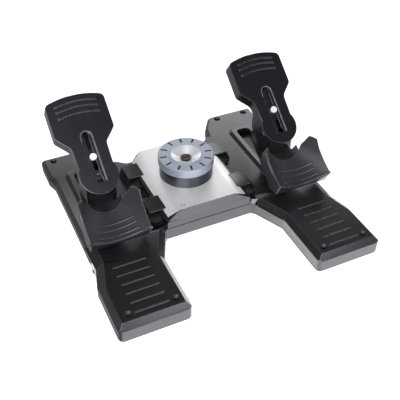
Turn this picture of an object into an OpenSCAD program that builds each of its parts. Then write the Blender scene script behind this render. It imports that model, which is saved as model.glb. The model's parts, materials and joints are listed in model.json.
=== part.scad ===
// Rudder pedals for flight simulation. Lengths in millimetres, angles in degrees.
// Places along the base are measured from the front edge of a base of the usual length.
// place() moves the origin to the centre of the footprint, with the floor at zero.

/* [Base] */
// Width over the two heel rests
base_w = 444; // [436:1:460]
// Length from front to rear
base_l = 437; // [430:1:450]
// Width over the side decks
deck_w = 423; // [420:1:430]
// Width over the rear tabs
tab_w = 434; // [430:1:436]
// Clear width between the heel rests
heel_gap = 214; // [210:1:216]
// Length of the taper behind a heel rest
waist_l = 37; // [33:1:40]
// Wall of the mouldings
wall = 3; // [2.5:0.1:3.2]
// Height of the side decks
deck_h = 24; // [23.5:0.1:26]
// Height of the heel rests
heel_h = 34; // [33:0.1:36]
// Width of the bevel round the side decks
deck_bevel = 6; // [4:0.5:7]
// Height of the bevel round the side decks
deck_bevel_h = 7.5; // [6:0.5:8]
// Width of the bevel round the heel rests
heel_bevel = 8.5; // [6:0.5:9]
// Height of the bevel round the heel rests
heel_bevel_h = 10; // [8:0.5:10]
// Thickness of the base pan
pan_t = 2.5; // [2:0.1:3]
// Height of the rubber feet
foot_h = 2; // [1:0.1:4]
// Radius of the rubber feet
foot_r = 9; // [7:0.5:11]

/* [Centre housing] */
// Front wall of the housing from the front edge
core_front = 168; // [166:0.5:170]
// Rear wall of the housing from the front edge
core_back = 361; // [358:0.5:364]
// Width of the housing at its crease
core_w = 156; // [152:1:160]
// Height of the crease
crease_h = 38; // [37:0.5:40]
// Height of the housing
core_h = 49; // [48:0.5:52]
// Length of the base behind the housing
tail_l = 76; // [73:1:80]
// Width of the flat of the silver cover
cover_w = 104; // [100:1:108]
// Front edge of the silver cover from the front edge of the base
cover_front = 178; // [176:0.5:180]
// Thickness of the silver cover
cover_t = 2; // [1.5:0.1:2.2]
// Lowest height of the silver cover
cover_low = 40; // [39:0.5:41]

/* [Hoods] */
// Height of the hood roofs
hood_h = 42; // [41:0.5:43]
// Length of a hood along the base
hood_l = 36; // [32:1:38]
// Outer end of a hood roof from the centre line
hood_reach = 95; // [92:1:96]
// Run of the sloped outer end of a hood
hood_slope = 8; // [6:0.5:9]
// Length of the open pit in front of a hood
pit_l = 16; // [12:1:20]

/* [Slots] */
// Clear width of a pedal slot
slot_w = 26; // [25.5:0.5:28]
// Rear end of a pedal slot
slot_back = 366; // [360:1:368]
// Front end of a pedal slot
slot_front = 175; // [172:1:178]
// Height of the rim round a slot
rim_h = 4.5; // [3:0.5:6]
// Width of the flat top of the rim
rim_top = 8.5; // [7:0.5:9]
// Width of the sloped side of the rim
rim_side = 5.5; // [4:0.5:6]

/* [Linkage] */
// Distance from the edge of a side deck to the middle of its slot
slot_inset = 48.5; // [47:0.5:51]
// Middle of the linkage from the front edge
linkage_y = 266; // [264:0.5:268]
// Distance between the front and rear bars
bar_gap = 97; // [94:0.5:100]
// Width of a cross bar
bar_w = 22; // [18:1:24]
// Thickness of a cross bar
bar_t = 6; // [5:0.1:6]
// Radius of the pivot posts and carriage pins
pivot_r = 5; // [4:0.1:6]
// Running clearance of the pivots
run_fit = 0.05; // [0.02:0.01:0.1]
// Clearance of the opened rear carriage pivots
open_fit = 0.4; // [0.3:0.05:0.6]
// Thickness of a carriage plate
carriage_t = 5; // [4:0.1:5]
// Width of a carriage plate
carriage_w = 48; // [44:1:50]

/* [Dial] */
// Diameter of the tension dial
dial_d = 96; // [92:1:98]
// Height of the top of the dial
dial_h = 86.7; // [85:0.1:90]
// Height of the dial's skirt
dial_skirt = 15.5; // [14:0.5:17]
// Diameter of the steel collar
collar_d = 93; // [88:1:94]
// Number of ticks on the dial
tick_n = 12; // [8:1:16]
// Length of a tick
tick_l = 10.5; // [8:0.5:11]
// Width of a tick
tick_w = 2.4; // [1.5:0.1:3]

/* [Cradles] */
// Width of a cradle
cradle_w = 98; // [96:1:100]
// Length of a cradle along its tilted frame
cradle_l = 71; // [69:0.5:73]
// Half angle of the cone that forms the foot surface
bowl_angle = 34; // [33:0.5:35]
// Rise of the cone's axis towards the heel
bowl_rise = 18; // [17:0.5:19]
// Tilt of the cradle's frame
cradle_tilt = 18; // [16:0.5:19]
// Wall of a cradle
cradle_t = 3.5; // [3:0.1:4]
// Radius of the scoop behind the foot surface
scoop_r = 38; // [36:0.5:40]

/* [Toe plates] */
// Slope of the toe plates
plate_slope = 37.1; // [35:0.1:39]
// Width of a toe plate
plate_w = 98; // [92:1:102]
// Distance from the slot's middle to the top edge
plate_top = 108; // [104:1:112]
// Width of the neck
neck_w = 56; // [55:1:58]
// Radius of the round foot of the plate
plate_foot_r = 32; // [30:0.5:33]
// Thickness of the plate's face
plate_t = 4; // [3.5:0.1:4.5]
// Depth of the plate's side walls
plate_depth = 23; // [20:0.5:24]
// Length of the adjusting slot
adjust_l = 76; // [74:1:78]
// Width of the adjusting slot
adjust_w = 6; // [5:0.1:6.5]

/* [Toe brakes] */
// Height of the brake hinge
hinge_h = 103; // [102:0.5:104]
// Brake hinge from the front edge
hinge_y = 245; // [244:0.5:246]
// Radius of the hinge pin
hinge_r = 4; // [3.5:0.1:4.5]

/* [Hidden] */
$fn = 48;
// Segments of a rounded corner in an outline
arc_steps = 3;
// Overrun of cuts
cut = 1;
// Gap between pieces that are screwed together
seat_gap = 0.3;
// Gap between pieces that move past each other
move_gap = 0.5;

// Heights inside the base
pan_top = foot_h + pan_t;
ceiling = deck_h - wall;
deck_wall_h = deck_h - deck_bevel_h;
heel_wall_h = heel_h - heel_bevel_h;
carriage_top = ceiling - cut;
carriage_low = carriage_top - carriage_t;
hub_gap = move_gap + seat_gap;
bar_low = carriage_low - hub_gap - bar_t;
bar_top = bar_low + bar_t;
hub_h = 3;
hub_top = bar_top + hub_h;
hub_r = 15;

// Places along the base
front_bar_y = linkage_y - bar_gap/2;
rear_bar_y = linkage_y + bar_gap/2;
pedal_x = deck_w/2 - slot_inset;
rear_y = core_back + tail_l;
front_y = rear_y - base_l;
mid = rear_y - base_l/2;

// Outline of the base
corner_r = 8;
// Step between mouldings that meet
proud = 0.5;
// Step between the lower edges of neighbouring bevels
step = 0.3;
heel_waist_y = 132;
heel_taper_y = heel_waist_y - waist_l;
heel_flare_y = 111;
wing_x = 84;
wing_y = 162;
tab_l = 54;
tab_y = rear_y - tab_l;
tab_step = 18;
tab_round = 6;
rear_in_x = 124;
rear_step_x = 102;
rear_step_l = 34;
rear_step_y = rear_y - rear_step_l;
rear_neck_x = 95;
rear_neck_l = 15;
rear_neck_y = core_back + rear_neck_l;
core_side_x = 76;

slot_front_r = 4;

// Heel rests
heel_top_out = 24;
heel_top_back_x = base_w/2 - heel_top_out;
heel_top_in = 21;
heel_top_in_x = heel_gap/2 + heel_top_in;
heel_top_y = 142;
heel_end_y = 162;
heel_foot_y = 184;
heel_in_x = 60;
wing_bevel = 9;
heel_waist_bevel = 13;
rib_in = 31;
rib_out = 33.5;
rib_x0 = heel_gap/2 + rib_in;
rib_x1 = base_w/2 - rib_out;
rib_y = 113.15;
rib_pitch = 18.75;
rib_margin = 19.2;
rib_n = floor((rib_y - front_y - rib_margin)/rib_pitch) + 1;
rib_h = 1.2;
rib_w = 3.6;

// Screws
screw_r = 2;
screw_fit = 0.2;
screw_head_r = 5.4;
screw_head_h = 2.4;
recess_r = 7;
recess_depth = 4;
boss_wall = 3;
boss_drop = recess_depth + boss_wall;
heel_screw_in = 19.3;
heel_screw_out = 22;
heel_screw_x = [heel_gap/2 + heel_screw_in, base_w/2 - heel_screw_out];
heel_screw_l = 19.4;
heel_screw_y = front_y + heel_screw_l;
rear_screw_in = 13.5;
rear_screw_out = 20.8;
rear_screw_x = [rear_in_x + rear_screw_in, tab_w/2 - rear_screw_out];
rear_screw_l = 15;
rear_screw_y = rear_y - rear_screw_l;
rear_recess_r = 6;
pilot_depth = 10;

// Feet
foot_in = 15;
foot_out = 18;
foot_side = 7.5;
foot_wing = 5;
foot_deck = 13.5;
foot_tab = 13;
foot_tail = 14;
foot_front = 34;
foot_waist = 18;
foot_mid = 66;
foot_rear = 35;
foot_y = [front_y + foot_front, heel_waist_y + foot_waist, core_front, slot_back - foot_mid,
    rear_y - foot_rear];
foot_xy = [
    [heel_gap/2 + foot_in, foot_y[0]], [base_w/2 - foot_out, foot_y[0]],
    [deck_w/2 - foot_side, foot_y[1]], [heel_gap/2 + foot_wing, foot_y[2]],
    [deck_w/2 - foot_deck, foot_y[3]], [tab_w/2 - foot_tab, foot_y[4]],
    [rear_in_x + foot_tail, foot_y[4]]];

// Centre housing outlines
core_nose_x = 77;
core_tail_y = 335;
core_tail_slope = 10;
core_back_slope = 6.5;
core_tail_x = 57;

// Hoods
hood_in_x = 57;
hood_wall = 3;
pit_x0 = 66;
pit_x1 = 92;

// Centre pins
pin_x = 41;
pin_pitch = 4.5;
pin_y = 186;
pin_r = 1;
pin_h = 0.6;

// Dial
dial_low = dial_h - dial_skirt;
ring_r = 30;
ring_h = 1;
dish_r = 24.7;
dish_depth = 9;
bore_r = 12;
spindle_r = 6;
dial_floor = 6;
tick_phase = 19.4;
tick_depth = 0.8;
tick_margin = 2.6;
tick_out = dial_d/2 - tick_margin;
dial_edge = 1.2;
collar_wall = 3;
collar_floor = 3;
dial_head_r = 9;
dial_head_h = 3;
spindle_low = 13;

// Tension gear
beam_w = 18;
beam_t = 4;
pad_t = 2;
pad_r = 13;
beam_low = hub_top + pad_t + move_gap;
beam_top = beam_low + beam_t;
nut_w = 22;
nut_t = 6;
coil_wire = 1.4;
tension_coil_r = 9;
tension_turns = 4;
tension_low = beam_top;
nut_low = 37;

// Centring spring
centring_wire = 1;
centring_r = 18.2;
centring_turns = 1;
centring_leg = 37;
centring_tab = 24;
centring_tab_w = 9;
centring_pin_r = 2.4;
post_pin_y = 34;

// Rudder sensor
magnet_x = -30;
magnet_w = 8;
magnet_t = 3;
sensor_y = 21;
sensor_w = 12;
sensor_t = 2;
sensor_gap = 1.2;

// Circuit board
board_x0 = 18;
board_x1 = 54;
board_y0 = 226;
board_y1 = 292;
board_t = 1.6;
board_z = 33;
chip_w = 14;
chip_t = 1.5;
stand_r = 2.6;

// Cable gland
gland_r = 5;
gland_flange_r = 7;
gland_l = 6;
gland_bore_r = 2.4;
gland_z = 15;
gland_t = 1.6;

// Carriages
carriage_front = 186;
carriage_back = 347;
carriage_round = 5;
glide_r = 5;
glide_x = 16;
glide_inset = 7;
eye_r = 11;
pin_head_h = 1.6;
pin_head_r = 7;

// Pedal arms
arm_neck_w = 17;
arm_neck_front = 214;
arm_neck_back = 262;
arm_taper_z = 31;
arm_w = 52;
arm_wide_z = 52;
arm_front = 227;
arm_mid_back = 258;
// Side views of the shoulders and the tower (distance back, height)
arm_side = [[226, 48], [246, 46], [259, 53.5], [274, 66], [283, 80], [283, 104], [226, 104]];
shoulder_half = 27.5;
tower_side = [[228, 50], [258, 50], [276, 68], [276, 98], [228, 98]];
tower_w = 42;
tower_floor_z = 70;
barrel_r = 7;
barrel_w = 20;
beam_front = 160;
beam_z0 = 47;
beam_z1 = 62;
arm_beam_w = 30;

// Cradles
cradle_y = 143;
cradle_z = 58;
// Apex of the cone that forms the foot surface
bowl_y = 258;
bowl_z = 86;
bowl_l = 190;
cradle_round = 9;
// Side view of a cradle, front to rear (distance back, height)
cradle_side = [[136, 76], [150, 45], [172, 42], [214, 75.5], [210, 97], [202, 105.5], [136, 105.5]];
cradle_room = [[140.5, 76], [154.5, 45], [154.5, 30], [240, 30], [240, 130], [140.5, 130]];
lip_h = 2.2;
lip_l = 5;
cradle_rib_h = 1.1;
cradle_rib_w = 2.8;
cradle_rib_y = [155, 166, 176];
cradle_rib_half = 34;
// Lean of the lip and ribs, distance forward for each unit of rise
lip_lean = 0.45;
scoop_at = 95;
tray_t = 3;
tray_half = 26;
tray_front = 184;
tray_back = 216;
tray_top = 88;

// Toe plates
face_y = 258.5;
face_z = 136.3;
top_bow = 9;
shoulder_s = 42;
neck_s = 22;
neck_low_s = -20;
foot_s = -29.5;
shoulder_r = 14;
recess_w = 19;
recess_t = 1.4;
recess_s0 = -42;
recess_s1 = 44.6;
slot_eye_r = 5;
rib_end_s = [93.5, 84, 73];
rib_half = 33.5;
rib_bow_r = 130;
toe_rib_h = 0.9;
toe_rib_w = 2.6;

// Brake arms
brake_w = 49;
brake_wall = 3;
brake_web_t = 4;
brake_s0 = -24;
brake_s1 = 46;
// Side view of a brake cheek (distance back, height), rounded about the hinge
cheek_side = [[230, 50], [300, 50], [300, 152], [284, 147], [262, 128], [230, 104]];
cheek_r = 42;
boss_r = 9;

// Clamp
clamp_r = 2.5;
clamp_head_r = 5.6;
clamp_head_h = 2.6;
clamp_nut_r = 5;
clamp_nut_t = 4;

// Brake spring and sensor
spring_wire = 1.1;
spring_turns = 3;
spring_r = 7;
sensor_ring_r = 9;
sensor_ring_w = 6;

function unit(v) = v/norm(v);

// Arc that rounds the corner b between a and c
function corner(a, b, c, r) = is_undef(r) || r <= 0 ? [b] :
    let (u = unit(a - b), w = unit(c - b), half = acos(u*w)/2, q = b + unit(u + w)*r/sin(half),
         s = b + u*r/tan(half) - q, e = b + w*r/tan(half) - q,
         from = atan2(s[1], s[0]), turn = ((atan2(e[1], e[0]) - from)%360 + 540)%360 - 180)
    [for (i = [0:arc_steps]) q + r*[cos(from + turn*i/arc_steps), sin(from + turn*i/arc_steps)]];

// Outline of points with a radius each, corners rounded
function soften(p) = let (n = len(p)) [for (i = [0:n - 1])
    let (a = p[(i + n - 1)%n], b = p[i], c = p[(i + 1)%n])
    each corner(flat(a), flat(b), flat(c), b[2])];

function flat(p) = [p[0], p[1]];

// Outline moved inwards by d, each corner with its radius
function inset(p, d) = let (n = len(p)) [for (i = [0:n - 1])
    let (a = flat(p[(i + n - 1)%n]), b = flat(p[i]), c = flat(p[(i + 1)%n]), u = unit(b - a), v = unit(c - b),
         s = [-u[1], u[0]], t = [-v[1], v[0]], q = b + d*(s + t)/(1 + s*t))
    [q[0], q[1], p[i][2]]];

// Right half, front to rear, completed with its mirror image
function both_sides(p) = concat(p, [for (i = [len(p) - 1:-1:0]) [-p[i][0], p[i][1], p[i][2]]]);

// Solid through outlines at rising heights, each with the same number of corners
module stack(levels) {
    rings = [for (v = levels) [for (q = soften(v[0])) [q[0], q[1], v[1]]]];
    n = len(rings[0]);
    last = (len(rings) - 1)*n;
    sides = [for (k = [0:len(rings) - 2]) for (i = [0:n - 1])
        let (a = k*n + i, b = k*n + (i + 1)%n)
        each [[a, a + n, b + n], [a, b + n, b]]];
    polyhedron([for (r = rings) each r],
        concat([[for (i = [0:n - 1]) i]], [[for (i = [n - 1:-1:0]) last + i]], sides));
}

// Wedge that bevels the top edge from a to b, at height z, w wide and h high
module bevel_cut(a, b, z, w, h, e0, e1) {
    d = flat(b) - flat(a);
    translate([a[0], a[1], 0])
        rotate([0, 0, atan2(d[1], d[0])])
            translate([-e0, 0, 0])
                rotate([90, 0, 90])
                    linear_extrude(norm(d) + e0 + e1)
                        polygon([[2*w, z + h], [-w, z - 2*h], [-w, z + h]]);
}

// Prism on a convex outline with its whole top edge bevelled
module bevelled(outline, z0, z1, w, h) {
    p = soften(outline);
    n = len(p);
    difference() {
        translate([0, 0, z0])
            linear_extrude(z1 - z0)
                polygon(p);
        for (i = [0:n - 1])
            bevel_cut(p[i], p[(i + 1)%n], z1, w, h, base_l, base_l);
    }
}

module slab(outline, z0, z1) {
    translate([0, 0, z0])
        linear_extrude(z1 - z0)
            polygon(soften(outline));
}

// Extrusion of a side profile (distance back, height) across the width
module across(profile, w) {
    rotate([90, 0, 90])
        translate([0, 0, -w/2])
            linear_extrude(w)
                polygon(profile);
}

module rod(r, z0, z1) {
    translate([0, 0, z0])
        cylinder(r = r, h = z1 - z0);
}

module box(x0, x1, y0, y1, z0, z1) {
    translate([x0, y0, z0])
        cube([x1 - x0, y1 - y0, z1 - z0]);
}

module place() {
    translate([0, -mid, 0])
        children();
}

module two_sides() {
    for (side = [-1, 1])
        scale_side(side)
            children();
}

module scale_side(side) {
    if (side < 0)
        mirror([1, 0, 0])
            children();
    else
        children();
}

module at_pedal(side) {
    translate([side*pedal_x, 0, 0])
        children();
}

// Coil spring swept round the vertical axis
module coil(r, wire, turns, pitch) {
    steps = 16;
    rings = turns*steps;
    sides = 6;
    turn_points = [for (k = [0:rings]) let (a = 360*k/steps) for (i = [0:sides - 1])
        let (b = 360*i/sides, q = r + wire*cos(b))
        [q*cos(a), q*sin(a), wire + pitch*k/steps + wire*sin(b)]];
    skin = [for (k = [0:rings - 1]) for (i = [0:sides - 1])
        let (j = (i + 1)%sides, a = k*sides + i, b = k*sides + j, c = a + sides, d = b + sides)
        each [[a, b, d], [a, d, c]]];
    polyhedron(turn_points, concat([[for (i = [sides - 1:-1:0]) i]],
        [[for (i = [0:sides - 1]) rings*sides + i]], skin));
}

// Outlines of the base, right half from front to rear
base_half = [
    [core_nose_x, core_front, 0], [wing_x, wing_y, 0], [heel_gap/2 + proud, heel_flare_y, 0],
    [heel_gap/2 + proud, front_y + proud, corner_r], [base_w/2 - proud, front_y + proud, corner_r],
    [base_w/2 - proud, heel_taper_y, 0], [deck_w/2, heel_waist_y, 0], [deck_w/2, tab_y - tab_step, 0],
    [tab_w/2, tab_y, 0], [tab_w/2, rear_y, corner_r], [rear_in_x, rear_y, tab_round],
    [rear_step_x, rear_step_y, 0], [rear_neck_x, rear_neck_y, 0], [core_side_x, core_back, 0]];
base_outline = both_sides(base_half);

heel_low = [
    [heel_gap/2, front_y, corner_r], [base_w/2, front_y, corner_r], [base_w/2, heel_taper_y, 0],
    [deck_w/2 + proud, heel_waist_y, 0], [deck_w/2 + proud, heel_foot_y, 0],
    [heel_in_x, heel_foot_y, 0], [core_nose_x + proud, core_front - proud, 0], [wing_x, wing_y - proud, 0],
    [heel_gap/2, heel_flare_y - proud, 0]];
heel_high = [
    [heel_gap/2 + heel_bevel, front_y + heel_bevel, 0], [base_w/2 - heel_bevel, front_y + heel_bevel, 0],
    [base_w/2 - heel_bevel, heel_taper_y, 0], [heel_top_back_x, heel_top_y, 0],
    [heel_top_back_x, heel_end_y, 0], [heel_top_in_x, heel_end_y, 0],
    [heel_gap/2 + heel_bevel, heel_flare_y, 0]];

core_low = both_sides([
    [core_nose_x - cut, core_front + proud, 0], [core_w/2, core_tail_y, 0],
    [core_tail_x, core_back - proud, 0]]);
// Width of the slope above each edge of the housing
core_slopes = [core_w/2 - cover_w/2, core_tail_slope, core_back_slope, core_tail_slope, core_w/2 - cover_w/2,
    cover_front - core_front - proud];

// Outer form of the centre housing, with its cover
module core_form(d, drop) {
    p = inset(core_low, d);
    n = len(p);
    difference() {
        slab(p, pan_top + cut, core_h - drop);
        for (i = [0:n - 1])
            bevel_cut(p[i], p[(i + 1)%n], core_h - drop, core_slopes[i], core_h - crease_h + (i%2)*step,
                base_l, base_l);
    }
}

// Deck of the whole base with its bevelled edges
module deck_form() {
    o = base_outline;
    w = deck_bevel;
    low = deck_bevel_h + step;
    difference() {
        slab(o, foot_h, deck_h);
        two_sides() {
            bevel_cut(o[6], o[7], deck_h, w, deck_bevel_h, 0, w/4);
            bevel_cut(o[7], o[8], deck_h, w, low, w/4, 0);
            bevel_cut(o[8], o[9], deck_h, w, deck_bevel_h, 0, base_l);
            bevel_cut(o[9], o[10], deck_h, w, low, base_l, base_l);
            bevel_cut(o[10], o[11], deck_h, w, deck_bevel_h, base_l, w/4);
            bevel_cut(o[11], o[12], deck_h, w, low, w/4, w/4);
        }
    }
}

// Heel rest with its wing towards the centre housing
module heel_form() {
    o = heel_low;
    h = heel_bevel_h;
    low = heel_bevel_h + step;
    waist = heel_waist_bevel;
    difference() {
        slab(o, pan_top, heel_h);
        bevel_cut(o[0], o[1], heel_h, heel_bevel, h, base_l, base_l);
        bevel_cut(o[1], o[2], heel_h, heel_bevel, low, base_l, base_l);
        bevel_cut(o[2], o[3], heel_h, waist, h, base_l, waist/8);
        bevel_cut(o[3], o[4], heel_h, waist, low, waist/8, base_l);
        bevel_cut(o[4], o[5], heel_h, heel_foot_y - heel_end_y, h, base_l, base_l);
        bevel_cut(o[6], o[7], heel_h, wing_bevel, h, base_l, wing_bevel/4);
        bevel_cut(o[7], o[8], heel_h, wing_bevel, low, wing_bevel/4, wing_bevel/4);
        bevel_cut(o[8], o[0], heel_h, heel_bevel, h - step, heel_bevel/4, base_l);
    }
}

module cover_form() {
    difference() {
        intersection() {
            core_form(0, 0);
            box(-base_w, base_w, cover_front, rear_y, cover_low, base_l);
        }
        core_form(0, cover_t);
    }
}

hood_profile = [
    [hood_in_x, deck_h - cut], [hood_reach + hood_slope, deck_h - cut], [hood_reach + hood_slope, deck_h],
    [hood_reach, hood_h], [hood_in_x, hood_h]];
hood_room = [
    [hood_in_x + hood_wall, ceiling - cut], [hood_reach + hood_slope - hood_wall, ceiling - cut],
    [hood_reach + hood_slope - hood_wall, deck_h], [hood_reach - hood_wall, hood_h - hood_wall],
    [hood_in_x + hood_wall, hood_h - hood_wall]];

// Outer form of one hood, on the right
module hood_form(y, grow) {
    translate([0, y + hood_l/2, 0])
        rotate([90, 0, 0])
            linear_extrude(hood_l)
                polygon(soften(inset(hood_profile, -grow)));
}

module hood_hollow(y) {
    translate([0, y + hood_l/2 - hood_wall, 0])
        rotate([90, 0, 0])
            linear_extrude(hood_l)
                polygon(hood_room);
}

module hoods_at() {
    for (y = [front_bar_y, rear_bar_y])
        two_sides()
            translate([0, y, 0])
                children();
}

module slot_outline(grow, z0, z1, bevel) {
    half = slot_w/2 + grow;
    r = corner_r + grow/2;
    s = [[-half, slot_front - grow, slot_front_r], [half, slot_front - grow, slot_front_r],
        [half, slot_back + grow, r], [-half, slot_back + grow, r]];
    if (bevel > 0)
        bevelled(s, z0, z1, bevel, rim_h);
    else
        slab(s, z0, z1);
}

module heel_ribs() {
    for (i = [0:rib_n - 1])
        translate([0, rib_y - i*rib_pitch, heel_h - cut]) {
            translate([rib_x0, -rib_w/2, 0])
                cube([rib_x1 - rib_x0, rib_w, rib_h + cut]);
            for (x = [rib_x0, rib_x1])
                translate([x, 0, 0])
                    cylinder(r = rib_w/2, h = rib_h + cut);
        }
}

module top_shell() {
    color("dimgray")
        place()
            difference() {
                union() {
                    difference() {
                        shell_form();
                        shell_hollow();
                    }
                    shell_bosses();
                }
                two_sides() {
                    translate([pedal_x, 0, 0])
                        slot_outline(0, ceiling - cut, heel_h + cut, 0);
                    for (x = heel_screw_x)
                        translate([x, heel_screw_y, 0]) {
                            rod(recess_r, heel_h - recess_depth, heel_h + cut);
                            rod(screw_r + screw_fit, 0, heel_h);
                        }
                    for (x = rear_screw_x)
                        translate([x, rear_screw_y, 0]) {
                            rod(rear_recess_r, deck_h - recess_depth, deck_h + cut);
                            rod(screw_r + screw_fit, 0, deck_h);
                        }
                }
                translate([0, linkage_y, 0])
                    rod(spindle_r + move_gap, ceiling, core_h + cut);
                cable_hole();
            }
}

// Outside of the top shell
module shell_form() {
    deck_form();
    two_sides() {
        heel_form();
        heel_ribs();
        translate([pedal_x, 0, 0])
            slot_outline(rim_top + rim_side, deck_h - cut, deck_h + rim_h, rim_side);
    }
    difference() {
        core_form(0, 0);
        difference() {
            box(-base_w, base_w, cover_front, rear_y, cover_low, base_l);
            core_form(0, cover_t);
        }
    }
    hoods_at()
        hood_form(0, 0);
}

// Room inside the top shell
module shell_hollow() {
    slab(inset(base_outline, wall), 0, deck_wall_h - wall);
    slab(inset(base_outline, wall + deck_bevel), cut, ceiling);
    two_sides() {
        slab(inset(heel_low, wall), foot_h, heel_wall_h - wall);
        slab(inset(heel_high, wall), pan_top, heel_h - wall);
    }
    core_form(wall, wall + cover_t);
    hoods_at() {
        hood_hollow(0);
        box(pit_x0, pit_x1, -hood_l/2 - pit_l, -hood_l/2 + hood_wall, ceiling - cut, deck_h + cut);
    }
}

// Screw bosses and board stands under the top of the shell
module shell_bosses() {
    two_sides() {
        for (x = heel_screw_x)
            translate([x, heel_screw_y, 0])
                rod(recess_r + boss_wall, heel_h - boss_drop, heel_h - cut);
        for (x = rear_screw_x)
            translate([x, rear_screw_y, 0])
                rod(rear_recess_r + boss_wall, deck_h - boss_drop, deck_h - cut);
    }
    for (x = [board_x0 + stand_r, board_x1 - stand_r])
        for (y = [board_y0 + stand_r, board_y1 - stand_r])
            translate([x, y, 0])
                rod(stand_r, board_z + board_t, core_h - cover_t - wall/2);
}

module cable_hole() {
    translate([0, core_back, gland_z])
        rotate([90, 0, 0])
            cylinder(r = gland_r + seat_gap/3, h = wall*4, center = true);
}

module base_pan() {
    color("black")
        place()
            difference() {
                union() {
                    slab(inset(base_outline, wall + seat_gap), foot_h, pan_top);
                    two_sides() {
                        for (x = heel_screw_x)
                            translate([x, heel_screw_y, 0])
                                rod(screw_r + boss_wall, foot_h, heel_h - boss_drop);
                        for (x = rear_screw_x)
                            translate([x, rear_screw_y, 0])
                                rod(screw_r + boss_wall, foot_h, deck_h - boss_drop);
                    }
                    for (y = [front_bar_y, rear_bar_y])
                        translate([0, y, 0])
                            rod(pivot_r + boss_wall, foot_h, bar_low - seat_gap);
                    translate([0, rear_bar_y + post_pin_y, 0])
                        rod(centring_pin_r, foot_h, hub_top + centring_wire);
                    sensor_bracket();
                }
                two_sides() {
                    for (x = heel_screw_x)
                        translate([x, heel_screw_y, 0])
                            rod(screw_r + run_fit, heel_h - boss_drop - pilot_depth - cut, heel_h);
                    for (x = rear_screw_x)
                        translate([x, rear_screw_y, 0])
                            rod(screw_r + run_fit, deck_h - boss_drop - pilot_depth - cut, deck_h);
                }
                for (y = [front_bar_y, rear_bar_y])
                    translate([0, y, 0])
                        rod(pivot_r, foot_h - cut, hub_top);
            }
}

module sensor_bracket() {
    translate([magnet_x, front_bar_y + sensor_y, 0])
        box(-sensor_w/2, sensor_w/2, 0, sensor_t, foot_h, bar_top + magnet_t + sensor_gap);
}

module rubber_feet() {
    color("#1a1a1a")
        place()
            two_sides()
                for (p = foot_xy)
                    translate([p[0], p[1], 0])
                        rod(foot_r, 0, foot_h);
}

module screw(x, y, top, head_r) {
    translate([x, y, 0]) {
        rod(head_r, top, top + screw_head_h);
        rod(screw_r, top - boss_wall - pilot_depth, top);
    }
}

module heel_screws() {
    color("#303030")
        place()
            two_sides()
                for (x = heel_screw_x)
                    screw(x, heel_screw_y, heel_h - recess_depth, screw_head_r);
}

module rear_screws() {
    color("#303030")
        place()
            two_sides()
                for (x = rear_screw_x)
                    screw(x, rear_screw_y, deck_h - recess_depth, screw_head_r - cut/2);
}

module silver_cover() {
    color("silver")
        place()
            difference() {
                cover_form();
                hoods_at()
                    hood_form(0, seat_gap);
                translate([0, linkage_y, 0])
                    rod(spindle_r + move_gap, 0, core_h + cut);
                cover_pin_places(pin_r, core_h - cover_t - cut, core_h + cut);
            }
}

module cover_pin_places(r, z0, z1) {
    for (x = [-pin_x - pin_pitch/2, -pin_x + pin_pitch/2])
        translate([x, pin_y, 0])
            rod(r, z0, z1);
}

module cover_pins() {
    color("#222222")
        place()
            cover_pin_places(pin_r, core_h - cover_t, core_h + pin_h);
}

module dial_collar() {
    color("#55585c")
        place()
            translate([0, linkage_y, 0])
                difference() {
                    rod(collar_d/2, core_h, dial_low - move_gap);
                    rod(collar_d/2 - collar_wall, core_h + collar_floor, dial_low);
                    rod(spindle_r + move_gap, core_h - cut, dial_low);
                }
}

module tension_dial() {
    color("silver")
        place()
            translate([0, linkage_y, 0])
                difference() {
                    union() {
                        rod(dial_d/2, dial_low, dial_h - dial_edge);
                        translate([0, 0, dial_h - dial_edge])
                            cylinder(r1 = dial_d/2, r2 = dial_d/2 - dial_edge, h = dial_edge);
                        rod(ring_r, dial_low, dial_h + ring_h);
                    }
                    translate([0, 0, dial_h + ring_h - dish_depth])
                        cylinder(r1 = bore_r, r2 = dish_r, h = dish_depth);
                    rod(dish_r, dial_h + ring_h, dial_h + ring_h + cut);
                    rod(bore_r, dial_low + dial_floor, dial_h);
                    rod(spindle_r, dial_low - cut, dial_h);
                    dial_ticks();
                }
}

module dial_ticks() {
    for (i = [0:tick_n - 1])
        rotate([0, 0, tick_phase + i*360/tick_n])
            box(tick_out - tick_l, tick_out, -tick_w/2, tick_w/2, dial_h - tick_depth, dial_h + cut);
}

module dial_screw() {
    color("#8a7a68")
        place()
            translate([0, linkage_y, 0])
                difference() {
                    rod(dial_head_r, dial_low + dial_floor, dial_low + dial_floor + dial_head_h);
                    box(-dial_head_r, dial_head_r, -cut, cut,
                        dial_low + dial_floor + dial_head_h - cut, dial_h);
                }
}

module tension_spindle() {
    color("silver")
        place()
            translate([0, linkage_y, 0])
                rod(spindle_r, spindle_low, dial_low + dial_floor);
}

module tension_nut() {
    color("goldenrod")
        place()
            translate([0, linkage_y, 0])
                difference() {
                    box(-nut_w/2, nut_w/2, -nut_w/2, nut_w/2, nut_low, nut_low + nut_t);
                    rod(spindle_r + run_fit, 0, core_h);
                }
}

module tension_spring() {
    color("gainsboro")
        place()
            translate([0, linkage_y, tension_low])
                coil(tension_coil_r, coil_wire, tension_turns,
                    (nut_low - tension_low - 2*coil_wire)/tension_turns);
}

module friction_beam() {
    color("gray")
        place()
            difference() {
                union() {
                    box(-beam_w/2, beam_w/2, front_bar_y, rear_bar_y, beam_low, beam_top);
                    for (y = [front_bar_y, rear_bar_y])
                        translate([0, y, 0])
                            rod(pad_r, beam_low, beam_top);
                }
                translate([0, linkage_y, 0])
                    rod(spindle_r + run_fit, 0, core_h);
                for (y = [front_bar_y, rear_bar_y])
                    translate([0, y, 0])
                        rod(pivot_r + run_fit, 0, core_h);
            }
}

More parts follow.
